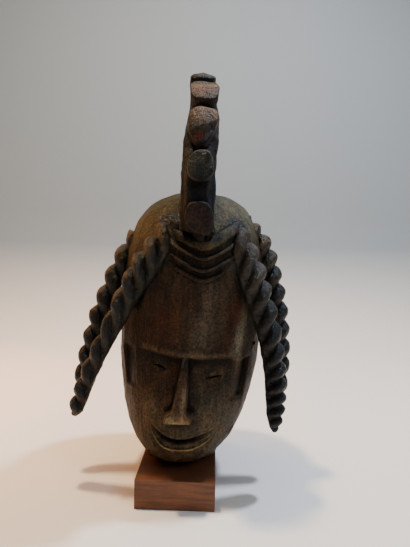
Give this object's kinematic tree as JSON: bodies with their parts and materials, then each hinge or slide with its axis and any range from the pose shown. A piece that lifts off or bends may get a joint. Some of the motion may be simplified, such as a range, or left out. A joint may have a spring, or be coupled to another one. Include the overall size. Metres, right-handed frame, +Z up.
{
  "type": "helmet mask",
  "caption": "Hollow carved wooden helmet mask with a tall lobed crest, twisted hanging braids and a stylised face, standing on a plain wood block.",
  "frame": {"origin": "centre of the block's underside", "axes": "+Z up, the face looks along -Y, +X to the right of a viewer who looks at the face"},
  "size_m": [0.3092, 0.2374, 0.5619],
  "materials": {
    "dark_carved_wood": "carved hardwood with a dark, worn, slightly glossy patina",
    "reddish_block_wood": "planed reddish-brown wood, satin"
  },
  "bodies": {
    "root": {"chin_and_neck": "dark_carved_wood", "mask": "dark_carved_wood", "crown": "dark_carved_wood", "crest": "dark_carved_wood", "left_front_braid": "dark_carved_wood", "left_rear_braid": "dark_carved_wood", "right_front_braid": "dark_carved_wood", "right_rear_braid": "dark_carved_wood", "wood_block": "reddish_block_wood"}
  },
  "joints": []
}
